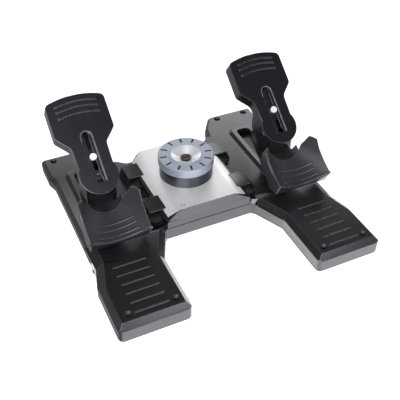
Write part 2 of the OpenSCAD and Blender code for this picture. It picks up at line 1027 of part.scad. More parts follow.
module friction_pads() {
    color("saddlebrown")
        place()
            for (y = [front_bar_y, rear_bar_y])
                translate([0, y, 0])
                    difference() {
                        rod(pad_r, beam_low - pad_t, beam_low);
                        rod(pivot_r + run_fit, 0, core_h);
                    }
}

module pivot_posts() {
    color("lightgray")
        place()
            for (y = [front_bar_y, rear_bar_y])
                translate([0, y, 0])
                    rod(pivot_r, foot_h, beam_top);
}

module centring_spring() {
    color("gainsboro")
        place()
            translate([0, rear_bar_y, hub_top - hub_h + seat_gap]) {
                coil(centring_r, centring_wire, centring_turns, 2*centring_wire + seat_gap/2);
                translate([centring_pin_r + centring_wire + seat_gap, 0, 0])
                    spring_leg(centring_wire);
                translate([-centring_pin_r - centring_wire - seat_gap, 0, 0])
                    spring_leg(centring_wire);
            }
}

module spring_leg(z) {
    translate([0, sqrt(centring_r*centring_r - centring_pin_r*centring_pin_r), z])
        rotate([-90, 0, 0])
            cylinder(r = centring_wire, h = centring_leg - centring_r + centring_wire);
}

// Flat bar with a hub in the middle and an eye at each end
module cross_bar(eye_clear) {
    difference() {
        union() {
            box(-pedal_x, pedal_x, -bar_w/2, bar_w/2, bar_low, bar_top);
            for (x = [-pedal_x, pedal_x])
                translate([x, 0, 0])
                    rod(eye_r, bar_low, bar_top);
            rod(hub_r, bar_low, hub_top);
        }
        rod(pivot_r + run_fit, 0, core_h);
        for (x = [-pedal_x, pedal_x])
            translate([x, 0, 0])
                rod(pivot_r + eye_clear, 0, core_h);
    }
}

module front_bar() {
    color("steelblue")
        place()
            translate([0, front_bar_y, 0])
                cross_bar(run_fit);
}

module rear_bar() {
    color("cadetblue")
        place()
            translate([0, rear_bar_y, 0]) {
                difference() {
                    union() {
                        cross_bar(open_fit);
                        difference() {
                            box(-centring_tab_w/2, centring_tab_w/2, 0, centring_tab + centring_pin_r,
                                bar_low, bar_top);
                            rod(hub_r - cut, 0, core_h);
                        }
                        translate([0, centring_tab, 0])
                            rod(centring_pin_r, bar_low, hub_top + centring_wire);
                    }
                    rod(pivot_r + run_fit, 0, core_h);
                }
            }
}

module rudder_magnet() {
    color("silver")
        place()
            translate([magnet_x, front_bar_y, 0])
                box(-magnet_w/2, magnet_w/2, -magnet_w/2, magnet_w/2, bar_top, bar_top + magnet_t);
}

module rudder_sensor() {
    color("darkgreen")
        place()
            translate([magnet_x, front_bar_y, bar_top + magnet_t + sensor_gap])
                box(-sensor_w/2, sensor_w/2, -magnet_w/2, sensor_y + sensor_t, 0, sensor_t);
}

module circuit_board() {
    color("darkgreen")
        place() {
            box(board_x0, board_x1, board_y0, board_y1, board_z, board_z + board_t);
            translate([(board_x0 + board_x1)/2, (board_y0 + board_y1)/2, board_z - chip_t])
                box(-chip_w/2, chip_w/2, -chip_w/2, chip_w/2, 0, chip_t);
        }
}

module cable_gland() {
    color("#1a1a1a")
        place()
            translate([0, core_back, gland_z])
                rotate([90, 0, 0])
                    difference() {
                        union() {
                            translate([0, 0, -gland_l])
                                cylinder(r = gland_r, h = gland_l + wall + proud + gland_t);
                            translate([0, 0, wall + proud + seat_gap/3])
                                cylinder(r = gland_flange_r, h = gland_t);
                        }
                        translate([0, 0, -gland_l - cut])
                            cylinder(r = gland_bore_r, h = base_l/2);
                    }
}

carriage_outline = [
    [-carriage_w/2, carriage_front, carriage_round], [carriage_w/2, carriage_front, carriage_round],
    [carriage_w/2, carriage_back, carriage_round], [-carriage_w/2, carriage_back, carriage_round]];

module carriage() {
    color("gray")
        difference() {
            slab(carriage_outline, carriage_low, carriage_top);
            for (y = [front_bar_y, rear_bar_y])
                translate([0, y, 0])
                    rod(pivot_r, 0, core_h);
        }
}

module carriage_pins() {
    color("lightgray")
        for (y = [front_bar_y, rear_bar_y])
            translate([0, y, 0]) {
                rod(pivot_r, bar_low - seat_gap, carriage_top);
                rod(pin_head_r, bar_low - seat_gap - pin_head_h, bar_low - seat_gap);
            }
}

module glide_pads() {
    color("white")
        for (x = [-glide_x, glide_x])
            for (y = [carriage_front + glide_inset, carriage_back - glide_inset])
                translate([x, y, 0])
                    rod(glide_r, pan_top + seat_gap, carriage_low);
}

arm_low_outline = [
    [-arm_neck_w/2, arm_neck_front], [arm_neck_w/2, arm_neck_front],
    [arm_neck_w/2, arm_neck_back], [-arm_neck_w/2, arm_neck_back]];
arm_mid_outline = [
    [-arm_w/2, arm_front], [arm_w/2, arm_front], [arm_w/2, arm_mid_back], [-arm_w/2, arm_mid_back]];

module hinge_cylinder(r, w) {
    translate([0, hinge_y, hinge_h])
        rotate([0, 90, 0])
            cylinder(r = r, h = w, center = true, $fn = 96);
}

module pedal_arm() {
    color("#3a3d42")
        difference() {
            union() {
                stack([[arm_low_outline, carriage_top], [arm_low_outline, arm_taper_z],
                    [arm_mid_outline, arm_wide_z]]);
                difference() {
                    across(arm_side, 2*shoulder_half);
                    hinge_cylinder(cheek_r + move_gap, 3*shoulder_half);
                }
                difference() {
                    across(tower_side, tower_w);
                    across([[hinge_y - boss_r - cut, tower_floor_z], [hinge_y + boss_r + cut, tower_floor_z],
                        [hinge_y + boss_r + cut, base_l], [hinge_y - boss_r - cut, base_l]], base_w);
                }
                box(-barrel_w/2, barrel_w/2, hinge_y - barrel_r, hinge_y + barrel_r,
                    tower_floor_z - cut, hinge_h);
                hinge_cylinder(barrel_r, barrel_w);
                cradle_seat();
            }
            hinge_cylinder(hinge_r + run_fit, base_w);
        }
}

// Cradle frame: front edge at the origin, depth along +Y
module on_cradle() {
    translate([0, cradle_y, cradle_z])
        rotate([cradle_tilt, 0, 0])
            children();
}

// Cone of the foot surface, with its wall moved out by d
module bowl(d) {
    translate([0, bowl_y, bowl_z])
        rotate([90 - bowl_rise, 0, 0])
            translate([0, 0, -d/sin(bowl_angle)])
                cylinder(r1 = 0, r2 = bowl_l*tan(bowl_angle), h = bowl_l, $fn = 96);
}

// Beam and tray of the pedal arm that carry the cradle
module cradle_seat() {
    difference() {
        across([[beam_front, beam_z0], [arm_front + cut, beam_z1], [arm_front + cut, tray_top],
            [beam_front, tray_top]], arm_beam_w);
        bowl(cradle_t);
    }
    difference() {
        intersection() {
            box(-tray_half, tray_half, tray_front, tray_back, 0, tray_top);
            bowl(cradle_t + tray_t);
        }
        bowl(cradle_t);
    }
}

module cradle_outline() {
    on_cradle()
        slab([
            [-cradle_w/2, -cradle_l, 0], [cradle_w/2, -cradle_l, 0],
            [cradle_w/2, cradle_l, cradle_round], [-cradle_w/2, cradle_l, cradle_round]],
            -cradle_l, cradle_l);
}

module cradle() {
    color("#2e3136")
        difference() {
            union() {
                difference() {
                    intersection() {
                        across(cradle_side, cradle_w);
                        cradle_outline();
                    }
                    bowl(0);
                    difference() {
                        across(cradle_room, cradle_w - 2*cradle_t);
                        bowl(cradle_t);
                    }
                }
                cradle_lip();
                cradle_ribs();
            }
            on_cradle()
                translate([0, scoop_at, 0])
                    cylinder(r = scoop_r, h = base_w, center = true, $fn = 96);
        }
}

// Raised front lip of a cradle
module cradle_lip() {
    difference() {
        intersection() {
            across([cradle_side[0], cradle_side[1], cradle_side[1] + [lip_l, 0], cradle_side[0] + [lip_l, 0]],
                cradle_w);
            bowl(cut);
        }
        bowl(-lip_h);
    }
}

// Raised ribs across the foot surface
module cradle_ribs() {
    for (y = cradle_rib_y)
        difference() {
            intersection() {
                translate([0, y, bowl_z - (bowl_y - y)*tan(bowl_angle - bowl_rise)])
                    across([[-cradle_rib_w/2 + cradle_l*lip_lean/2, -cradle_l/2],
                        [cradle_rib_w/2 + cradle_l*lip_lean/2, -cradle_l/2],
                        [cradle_rib_w/2 - cradle_l*lip_lean/2, cradle_l/2],
                        [-cradle_rib_w/2 - cradle_l*lip_lean/2, cradle_l/2]], 2*cradle_rib_half);
                bowl(cut);
            }
            bowl(-cradle_rib_h);
        }
}

module hinge_pin() {
    color("lightgray")
        hinge_cylinder(hinge_r, brake_w);
}

module brake_spring() {
    color("gainsboro")
        translate([-barrel_w/2 - seat_gap, hinge_y, hinge_h])
            rotate([0, -90, 0])
                coil(spring_r - spring_wire, spring_wire, spring_turns, 2*spring_wire + seat_gap);
}

module brake_sensor() {
    color("#202020")
        translate([barrel_w/2, hinge_y, hinge_h])
            rotate([0, 90, 0])
                difference() {
                    cylinder(r = sensor_ring_r, h = sensor_ring_w);
                    translate([0, 0, -cut])
                        cylinder(r = hinge_r + run_fit, h = base_w);
                }
}

// Frame of the toe plate: slot middle on the face, up the slope along +Y
module on_face() {
    translate([0, face_y, face_z])
        rotate([plate_slope, 0, 0])
            children();
}

module brake_arm() {
    color("#26282c")
        difference() {
            union() {
                on_face()
                    box(-brake_w/2 + brake_wall/2, brake_w/2 - brake_wall/2, brake_s0, brake_s1,
                        -plate_t - move_gap - brake_web_t, -plate_t - move_gap);
                for (side = [-1, 1])
                    intersection() {
                        translate([side*(brake_w/2 - brake_wall/2), 0, 0])
                            across(cheek_side, brake_wall);
                        hinge_cylinder(cheek_r, brake_w + cut);
                    }
            }
            hinge_cylinder(hinge_r, base_w);
            on_face()
                rod(clamp_r + screw_fit, -base_w, base_w);
        }
}

module clamp_nut() {
    color("silver")
        on_face()
            difference() {
                translate([0, 0, -plate_t - move_gap - brake_web_t - clamp_nut_t])
                    cylinder(r = clamp_nut_r, h = clamp_nut_t, $fn = 6);
                rod(clamp_r, -base_w, base_w);
            }
}

module clamp_screw() {
    color("white")
        on_face() {
            rod(clamp_r, -plate_t - move_gap - brake_web_t - clamp_nut_t, clamp_head_h);
            rod(clamp_head_r, -recess_t + seat_gap/3, clamp_head_h);
        }
}

plate_arc_r = (plate_w*plate_w/4 + top_bow*top_bow)/(2*top_bow);

// Outline of the toe plate above its round foot
plate_outline = both_sides(concat([
    [plate_foot_r - cut, foot_s, 0], [neck_w/2, neck_low_s, shoulder_r],
    [neck_w/2 + cut, neck_s - cut, shoulder_r], [plate_w/2, shoulder_s, corner_r],
    [plate_w/2, plate_top - top_bow, 0]],
    [for (a = [4:-1:1]) let (t = asin(plate_w/2/plate_arc_r)*a/5)
        [plate_arc_r*sin(t), plate_top - plate_arc_r + plate_arc_r*cos(t), 0]]));

module toe_plate() {
    color("#2b2d31")
        on_face()
            difference() {
                union() {
                    difference() {
                        slab(plate_outline, -plate_depth, 0);
                        slab(inset(plate_outline, brake_wall), -plate_depth - cut, -plate_t);
                        box(-plate_w, plate_w, -plate_top, neck_low_s, -plate_depth - cut, -plate_t);
                    }
                    translate([0, foot_s, 0])
                        rod(plate_foot_r, -plate_t, 0);
                    toe_ribs();
                }
                box(-adjust_w/2, adjust_w/2, -adjust_l/2, adjust_l/2, -plate_depth, cut);
                for (s = [-adjust_l/2, adjust_l/2])
                    translate([0, s, 0])
                        rod(slot_eye_r, -plate_depth, cut);
                box(-recess_w/2, recess_w/2, recess_s0, recess_s1 - recess_w/2, -recess_t, cut);
                translate([0, recess_s1 - recess_w/2, 0])
                    rod(recess_w/2, -recess_t, cut);
            }
}

module toe_ribs() {
    for (s = rib_end_s)
        intersection() {
            translate([0, s - sqrt(rib_bow_r*rib_bow_r - rib_half*rib_half), 0])
                difference() {
                    rod(rib_bow_r + toe_rib_w/2, -cut, toe_rib_h);
                    rod(rib_bow_r - toe_rib_w/2, -plate_t, plate_t);
                }
            box(-rib_half, rib_half, 0, plate_top, -cut, plate_t);
        }
}

// Pieces of one pedal by name
module pedal_piece(name, side) {
    place()
        at_pedal(side) {
            if (name == "carriage") carriage();
            if (name == "carriage_pins") carriage_pins();
            if (name == "glide_pads") glide_pads();
            if (name == "pedal_arm") pedal_arm();
            if (name == "cradle") cradle();
            if (name == "hinge_pin") hinge_pin();
            if (name == "brake_spring") brake_spring();
            if (name == "brake_sensor") brake_sensor();
            if (name == "brake_arm") brake_arm();
            if (name == "clamp_nut") clamp_nut();
            if (name == "toe_plate") toe_plate();
            if (name == "clamp_screw") clamp_screw();
        }
}

base_pan();
rubber_feet();
top_shell();
heel_screws();
rear_screws();
silver_cover();
cover_pins();
dial_collar();
tension_dial();
dial_screw();
tension_spindle();
tension_nut();
tension_spring();
friction_beam();
friction_pads();
pivot_posts();
centring_spring();
front_bar();
rear_bar();
rudder_magnet();
rudder_sensor();
circuit_board();
cable_gland();
pedal_piece("carriage", -1);  // left_carriage
pedal_piece("carriage", 1);  // right_carriage
pedal_piece("carriage_pins", -1);  // left_carriage_pins
pedal_piece("carriage_pins", 1);  // right_carriage_pins
pedal_piece("glide_pads", -1);  // left_glide_pads
pedal_piece("glide_pads", 1);  // right_glide_pads
pedal_piece("pedal_arm", -1);  // left_pedal_arm
pedal_piece("pedal_arm", 1);  // right_pedal_arm
pedal_piece("cradle", -1);  // left_cradle
pedal_piece("cradle", 1);  // right_cradle
pedal_piece("hinge_pin", -1);  // left_hinge_pin
pedal_piece("hinge_pin", 1);  // right_hinge_pin
pedal_piece("brake_spring", -1);  // left_brake_spring
pedal_piece("brake_spring", 1);  // right_brake_spring
pedal_piece("brake_sensor", -1);  // left_brake_sensor
pedal_piece("brake_sensor", 1);  // right_brake_sensor
pedal_piece("brake_arm", -1);  // left_brake_arm
pedal_piece("brake_arm", 1);  // right_brake_arm
pedal_piece("clamp_nut", -1);  // left_clamp_nut
pedal_piece("clamp_nut", 1);  // right_clamp_nut
pedal_piece("toe_plate", -1);  // left_toe_plate
pedal_piece("toe_plate", 1);  // right_toe_plate
pedal_piece("clamp_screw", -1);  // left_clamp_screw
pedal_piece("clamp_screw", 1);  // right_clamp_screw
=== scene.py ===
import json
import math
import bpy
import bmesh
from mathutils import Matrix, Vector
from mathutils.bvhtree import BVHTree


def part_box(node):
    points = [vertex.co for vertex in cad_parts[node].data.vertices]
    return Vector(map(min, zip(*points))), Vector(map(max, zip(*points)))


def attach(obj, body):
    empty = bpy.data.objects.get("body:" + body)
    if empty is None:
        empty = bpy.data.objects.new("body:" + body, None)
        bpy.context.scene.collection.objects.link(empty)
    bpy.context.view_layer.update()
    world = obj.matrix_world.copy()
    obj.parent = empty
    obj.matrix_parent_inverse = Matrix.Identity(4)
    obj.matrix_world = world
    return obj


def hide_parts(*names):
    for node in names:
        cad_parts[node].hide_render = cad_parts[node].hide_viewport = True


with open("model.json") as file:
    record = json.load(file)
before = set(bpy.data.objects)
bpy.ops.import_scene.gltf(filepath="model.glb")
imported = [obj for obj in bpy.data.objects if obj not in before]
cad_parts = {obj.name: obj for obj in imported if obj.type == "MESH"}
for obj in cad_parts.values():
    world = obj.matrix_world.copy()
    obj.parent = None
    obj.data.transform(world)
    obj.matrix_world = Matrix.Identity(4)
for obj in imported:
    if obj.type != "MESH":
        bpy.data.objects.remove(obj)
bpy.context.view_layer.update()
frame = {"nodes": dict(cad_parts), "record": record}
nodes = frame["nodes"]
scene = bpy.context.scene
print("frame loaded,", len(nodes), "nodes")

# camera: fitted to the picture, in metres, degrees and lens millimetres
viewpoint = {"place": (-0.3749, -0.7977, 0.7814), "turn": -25.21, "height": 40.82, "roll": 0.46,
             "lens": 60.84, "film": 36.0, "shift": 0.0058}


def makeCamera(v):
    turn, height, roll = (math.radians(v[k]) for k in ("turn", "height", "roll"))
    back = Vector((math.sin(turn) * math.cos(height), -math.cos(turn) * math.cos(height), math.sin(height)))
    right = Vector((math.cos(turn), math.sin(turn), 0))
    up = back.cross(right)
    across = right * math.cos(roll) + up * math.sin(roll)
    upward = up * math.cos(roll) - right * math.sin(roll)
    lens = bpy.data.cameras.new("studioCamera")
    lens.lens, lens.sensor_width, lens.shift_x = v["lens"], v["film"], v["shift"]
    lens.clip_start, lens.clip_end = 0.01, 50
    camera = bpy.data.objects.new("studioCamera", lens)
    scene.collection.objects.link(camera)
    rows = Matrix((across, upward, back)).transposed().to_4x4()
    camera.matrix_world = Matrix.Translation(v["place"]) @ rows
    scene.camera = camera


makeCamera(viewpoint)
print("camera set")

millimetre = 0.001
frontEdge = -218.5  # y of the front edge, so that lengths along the object count from there
upward = Vector((0, 0, 1))


def point(x, y, z):  # millimetres across, back from the front edge, and up
    return Vector((x, y + frontEdge, z)) * millimetre


class Wire:  # one output of a finish, so that sums on it read as sums
    def __init__(self, finish, socket):
        self.finish, self.socket = finish, socket

    def sum(self, kind, first, second):
        return self.finish.add("ShaderNodeMath", {"operation": kind}, {0: first, 1: second})

    def __add__(self, other):
        return self.sum("ADD", self, other)

    def __sub__(self, other):
        return self.sum("SUBTRACT", self, other)

    def __mul__(self, other):
        return self.sum("MULTIPLY", self, other)

    def __rsub__(self, other):
        return self.sum("SUBTRACT", other, self)

    __radd__, __rmul__ = __add__, __mul__


class Finish:  # a material or the world, built node by node
    def __init__(self, name, world=False):
        self.block = bpy.data.worlds.new(name) if world else bpy.data.materials.new(name)
        self.block.use_nodes = True
        self.tree = self.block.node_tree
        self.tree.nodes.clear()
        self.output = self.tree.nodes.new("ShaderNodeOutputWorld" if world else "ShaderNodeOutputMaterial")

    def add(self, kind, settings=None, values=None, output=0):
        node = self.tree.nodes.new(kind)
        for key, value in (settings or {}).items():
            if key == "stops":
                ramp = node.color_ramp
                while len(ramp.elements) < len(value):
                    ramp.elements.new(1.0)
                for element, (position, colour) in zip(ramp.elements, value):
                    element.position, element.color = position, colour
            else:
                setattr(node, key, value)
        for key, value in (values or {}).items():
            self.feed(node, key, value)
        return Wire(self, node.outputs[output])

    def feed(self, node, key, value):
        socket = node.inputs[key]
        if isinstance(value, Wire):
            self.tree.links.new(value.socket, socket)
        else:
            socket.default_value = value

    def mix(self, share, first, second):  # colours only
        return self.add("ShaderNodeMix", {"data_type": "RGBA"}, {0: share, 6: first, 7: second}, 2)

    def place(self):  # metres in the piece's own frame
        return self.add("ShaderNodeTexCoord", output=3)

    def grain(self, scale, detail=2.0, rough=0.5, stretch=None):
        spot = self.place()
        if stretch:
            spot = self.add("ShaderNodeMapping", None, {0: spot, 3: stretch})
        return self.add("ShaderNodeTexNoise", None,
                        {"Vector": spot, "Scale": scale, "Detail": detail, "Roughness": rough})

    def bump(self, height, strength, distance):
        return self.add("ShaderNodeBump", None,
                        {"Strength": strength, "Distance": distance, "Height": height})

    def show(self, shader):
        self.tree.links.new(shader.socket, self.output.inputs[0])
        return self.block

    def surface(self, **values):
        values = {key.replace("_", " "): value for key, value in values.items()}
        return self.show(self.add("ShaderNodeBsdfPrincipled", None, values))


def tint(colour, factor):
    return (colour[0] * factor, colour[1] * factor, colour[2] * factor, 1)


# plastics: tone, gloss and the size of the spark-eroded grain
plastics = {
    "shellGrey": {"tone": (0.0085, 0.0087, 0.0098), "rough": 0.26, "grain": 1500, "depth": 0.0001},
    # the next tone is lighter than the shell's: a painted highlight on rounded edges, heel bars and hood lips
    "shellGreyPaintedHighlight": {"tone": (0.030, 0.030, 0.034), "rough": 0.27, "grain": 1500, "depth": 0.00006},
    "plateBlack": {"tone": (0.0075, 0.0081, 0.0098), "rough": 0.26, "grain": 1800, "depth": 0.00009},
    # the next tone is lighter than the plates': a painted highlight on their rounded edges and on the cradle
    # lips
    "platePaintedHighlight": {"tone": (0.026, 0.027, 0.032), "rough": 0.27, "grain": 1800, "depth": 0.00005},
    "panBlack": {"tone": (0.015, 0.015, 0.016), "rough": 0.5, "grain": 900, "depth": 0.00012},
    "whiteNylon": {"tone": (0.80, 0.80, 0.79), "rough": 0.38, "grain": 700, "depth": 0.00005},
    "slideWhite": {"tone": (0.72, 0.71, 0.68), "rough": 0.42, "grain": 700, "depth": 0.00005},
    "darkPlastic": {"tone": (0.022, 0.022, 0.023), "rough": 0.45, "grain": 1200, "depth": 0.00008},
    "cradleGrey": {"tone": (0.026, 0.0265, 0.030), "rough": 0.36, "grain": 1800, "depth": 0.00009},
    "gripGrey": {"tone": (0.020, 0.0205, 0.024), "rough": 0.34, "grain": 1800, "depth": 0.00005},
    # the next tone is near black: painted shade for the pedal arms, which sit in the dark under the plates
    "armPaintedShade": {"tone": (0.007, 0.0072, 0.008), "rough": 0.36, "grain": 2000, "depth": 0.00005},
    # the next tone is a light grey: a painted highlight on the cradle rims and the toe plates' recess rims
    "rimPaintedHighlight": {"tone": (0.16, 0.16, 0.175), "rough": 0.3, "grain": 1800, "depth": 0.00004},
    "seamDark": {"tone": (0.012, 0.012, 0.013), "rough": 0.6, "grain": 1200, "depth": 0.00005},
}

# how all the plastics vary: wide clouds, fine scuffs along the piece, and the range of tone
plasticWear = {"cloud": 14, "scuff": 240, "run": (1.0, 0.35, 1.0), "dark": 0.86, "light": 1.16,
               "level": 0.8, "sheen": (0.92, 0.94, 1.0, 1), "relief": 0.55}


def mouldedPlastic(name, p, w):
    f = Finish(name)
    fine = f.grain(p["grain"], 3.0, 0.6)
    cloud = f.grain(w["cloud"], 3.0, 0.55)
    scuff = f.grain(w["scuff"], 4.0, 0.7, w["run"])
    shade = f.mix(cloud * 0.8 + fine * 0.2, tint(p["tone"], w["dark"]), tint(p["tone"], w["light"]))
    gloss = p["rough"] - 0.05 + cloud * 0.06 + scuff * 0.04
    relief = fine * 0.8 + scuff * 0.2
    return f.surface(Base_Color=shade, Roughness=gloss, Specular_IOR_Level=w["level"],
                     Specular_Tint=w["sheen"], Normal=f.bump(relief, w["relief"], p["depth"]))


def rubberFinish():
    f = Finish("rubberBlack")
    fine = f.grain(1100, 4.0, 0.7)
    cloud = f.grain(40)
    shade = f.mix(cloud, (0.010, 0.010, 0.010, 1), (0.020, 0.020, 0.020, 1))
    return f.surface(Base_Color=shade, Roughness=0.72 + fine * 0.15, Specular_IOR_Level=0.35,
                     Normal=f.bump(fine, 0.6, 0.0002))


# painted and bare metals: tone, gloss, the way that the tool marks run; the dark steel's broad upright
# streaks are partly a painted reflection
metals = {
    "silverPaint": {"tone": (0.86, 0.86, 0.87), "metal": 0.55, "rough": 0.42, "scale": 2600, "run": (1, 1, 1),
                    "depth": 0.00003},
    "turnedSteel": {"tone": (0.47, 0.50, 0.56), "metal": 0.85, "rough": 0.36, "scale": 1800,
                    "run": (1, 1, 0.08), "depth": 0.00002},
    # the dark steel's streaks are broad and upright: besides tool marks, a painted reflection of the streaky
    # light and dark round the collar
    "darkSteel": {"tone": (0.075, 0.078, 0.09), "metal": 0.95, "rough": 0.24, "scale": 120,
                  "run": (1, 1, 0.02), "depth": 0.00002},
    "bronzeSteel": {"tone": (0.085, 0.068, 0.058), "metal": 0.9, "rough": 0.4, "scale": 900, "run": (1, 1, 1),
                    "depth": 0.00003},
    "zincSteel": {"tone": (0.50, 0.50, 0.50), "metal": 0.9, "rough": 0.38, "scale": 800, "run": (1, 0.05, 1),
                  "depth": 0.00003},
    "springSteel": {"tone": (0.42, 0.42, 0.43), "metal": 1.0, "rough": 0.3, "scale": 900, "run": (1, 1, 1),
                    "depth": 0.00002},
    "brassPlain": {"tone": (0.60, 0.43, 0.18), "metal": 1.0, "rough": 0.35, "scale": 700, "run": (1, 1, 1),
                   "depth": 0.00002},
    "screwBlack": {"tone": (0.022, 0.022, 0.023), "metal": 0.4, "rough": 0.42, "scale": 900, "run": (1, 1, 1),
                   "depth": 0.00003},
    "tickInk": {"tone": (0.010, 0.013, 0.030), "metal": 0.0, "rough": 0.65, "scale": 900, "run": (1, 1, 1),
                "depth": 0.00002},
}


def metalFinish(name, p):
    f = Finish(name)
    marks = f.grain(p["scale"], 3.0, 0.6, tuple(float(v) for v in p["run"]))
    cloud = f.grain(30, 2.0, 0.5)
    shade = f.mix(cloud * 0.5 + marks * 0.5, tint(p["tone"], 0.92), tint(p["tone"], 1.08))
    gloss = p["rough"] - 0.04 + marks * 0.06 + cloud * 0.03
    return f.surface(Base_Color=shade, Roughness=gloss, Metallic=p["metal"],
                     Normal=f.bump(marks, 0.35, p["depth"]))


def turnedFinish(name, tone, rough, metal, centre):  # rings of a lathe round an upright axis
    f = Finish(name)
    spot = f.add("ShaderNodeVectorMath", {"operation": "SUBTRACT"}, {0: f.place(), 1: centre})
    flat = f.add("ShaderNodeVectorMath", {"operation": "MULTIPLY"}, {0: spot, 1: (1.0, 1.0, 0.0)})
    radius = f.add("ShaderNodeVectorMath", {"operation": "LENGTH"}, {0: flat}, 1)
    rings = f.add("ShaderNodeTexNoise", {"noise_dimensions": "1D"},
                  {"W": radius, "Scale": 2600.0, "Detail": 2.0, "Roughness": 0.6})
    cloud = f.grain(60, 3.0, 0.6)
    shade = f.mix(rings * 0.6 + cloud * 0.4, tint(tone, 0.9), tint(tone, 1.1))
    return f.surface(Base_Color=shade, Roughness=rough - 0.05 + rings * 0.07 + cloud * 0.04, Metallic=metal,
                     Normal=f.bump(rings, 0.4, 0.00003))


def feltFinish():
    f = Finish("feltBrown")
    fibres = f.grain(900, 6.0, 0.8, (1.0, 0.3, 1.0))
    shade = f.mix(fibres, (0.12, 0.075, 0.045, 1), (0.26, 0.17, 0.11, 1))
    return f.surface(Base_Color=shade, Roughness=0.9, Sheen_Weight=0.4, Normal=f.bump(fibres, 0.8, 0.0003))


def boardFinish():
    f = Finish("boardGreen")
    tracks = f.add("ShaderNodeTexBrick", None,
                   {"Vector": f.place(), "Color1": (0.02, 0.10, 0.04, 1), "Color2": (0.03, 0.14, 0.06, 1),
                    "Mortar": (0.05, 0.22, 0.10, 1), "Scale": 160.0, "Mortar Size": 0.01})
    fine = f.grain(500)
    return f.surface(Base_Color=tracks, Roughness=0.35 + fine * 0.1, Normal=f.bump(fine, 0.3, 0.00005))


finishes = {name: mouldedPlastic(name, p, plasticWear) for name, p in plastics.items()}
finishes.update({name: metalFinish(name, p) for name, p in metals.items()})
dialCentre = tuple((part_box("tension_dial")[0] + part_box("tension_dial")[1]) / 2)
finishes["dialSteel"] = turnedFinish("dialSteel", (0.36, 0.39, 0.47), 0.46, 0.35, dialCentre)
finishes["dishSteel"] = turnedFinish("dishSteel", (0.80, 0.82, 0.88), 0.32, 0.45, dialCentre)
finishes.update({"rubberBlack": rubberFinish(), "feltBrown": feltFinish(), "boardGreen": boardFinish()})
print("finishes made,", len(finishes))

# what each record slot is finished with, for the nodes that stay as they are
slotFinish = {"shell_grey": "shellGrey", "pan_black": "panBlack", "rubber_black": "rubberBlack",
              "screw_black": "screwBlack", "silver_paint": "silverPaint", "silver_metal": "turnedSteel",
              "dark_steel": "darkSteel", "bronze_steel": "bronzeSteel", "zinc_steel": "zincSteel",
              "spring_steel": "springSteel", "brass": "brassPlain", "felt_brown": "feltBrown",
              "board_green": "boardGreen", "slide_white": "slideWhite", "screw_white": "whiteNylon",
              "dark_plastic": "darkPlastic"}
slotOf = {part["node"]: part["material_slot"] for part in frame["record"]["subparts"]}
bodyOf = {name: body for body, names in frame["record"]["behaviour"]["bodies"].items() for name in names}
# painted shade: the parts below get black finishes in place of their own, standing for the dark they sit in
# under the pedals
paintedShadeNodes = {"pedal_arm": "armPaintedShade", "brake_arm": "plateBlack", "carriage": "panBlack",
             "carriage_pins": "panBlack", "glide_pads": "panBlack"}  # these show in the picture as black
for name, node in nodes.items():
    node.data.materials.clear()
    kind = name.split("_", 1)[1] if name.split("_")[0] in ("left", "right") else name
    node.data.materials.append(finishes[paintedShadeNodes.get(kind, slotFinish[slotOf[name]])])


def keepPiece(name, form, node=None, body=None, slot=None, finish=None, edgeFinish=None, sharp=34):
    mesh = bpy.data.meshes.new(name)
    form.normal_update()
    form.to_mesh(mesh)
    form.free()
    piece = bpy.data.objects.new(name, mesh)
    scene.collection.objects.link(piece)
    slot = slot or slotOf[node]
    mesh.materials.append(finishes[finish or slotFinish[slot]])
    if edgeFinish:
        mesh.materials.append(finishes[edgeFinish])
    for face in mesh.polygons:
        face.use_smooth = True
    mesh.set_sharp_from_angle(angle=math.radians(sharp))
    weighted = piece.modifiers.new("flats", "WEIGHTED_NORMAL")
    weighted.keep_sharp = True
    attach(piece, body or bodyOf[node])
    return piece


shortEdge = 0.0006  # metres: edges below this stay sharp


def softEdges(form, width, crease, steps, weld, mark, under=None):  # sizes in metres, crease in degrees
    surface = BVHTree.FromBMesh(form)
    spread = [[vert.co[k] for vert in form.verts] for k in range(3)]
    limits = [(min(values), max(values)) for values in spread]
    bmesh.ops.remove_doubles(form, verts=form.verts, dist=weld)
    bmesh.ops.dissolve_degenerate(form, dist=0.00003, edges=form.edges)
    bmesh.ops.dissolve_limit(form, angle_limit=math.radians(1.0), verts=form.verts, edges=form.edges)
    form.normal_update()
    rims = [e for e in form.edges
            if len(e.link_faces) == 2 and e.calc_face_angle(0) > math.radians(crease)
            and e.calc_length() > shortEdge and not (under and any(under(vert.co) for vert in e.verts))]
    made = bmesh.ops.bevel(form, geom=rims, offset=width, offset_type="OFFSET", segments=steps, profile=0.6,
                           affect="EDGES", clamp_overlap=False)
    # the bevel faces take the lighter edge finish: a painted highlight along the rounded edges
    if mark:
        for face in made["faces"]:
            face.material_index = 1
    for vert in form.verts:
        spot, normal, index, gap = surface.find_nearest(vert.co)
        if gap > width * 0.6:  # a point thrown out by short edges goes back onto the surface
            vert.co = spot
        vert.co = [min(max(value, low), high) for value, (low, high) in zip(vert.co, limits)]


# toe plate: its face's middle line (y and z in millimetres) and slope, how far down the open back's
# rim stays sharp, and where its upper corner edges are (metres)
plateFace = {"through": (258.5, 136.3), "slope": 37.1, "backRim": 15.0}
plateCorners = {"longest": 0.008, "aside": 0.0485, "above": 0.172}


def roundTopCorners(form, radius, c):
    middle = sum((vert.co.x for vert in form.verts), 0.0) / len(form.verts)
    tops = [e for e in form.edges if len(e.link_faces) == 2 and e.calc_length() > c["longest"]
            and all(abs(vert.co.x - middle) > c["aside"] and vert.co.z > c["above"] for vert in e.verts)]
    bmesh.ops.bevel(form, geom=tops, offset=radius, offset_type="OFFSET", segments=6, profile=0.5,
                    affect="EDGES", clamp_overlap=False)


# the heel ribs of the shell: where their tops are, and the level of the heel rest under them (metres)
heelRibs = {"aside": (0.1340, 0.1930), "front": -0.095, "tops": (0.0341, 0.0356), "level": 0.034}


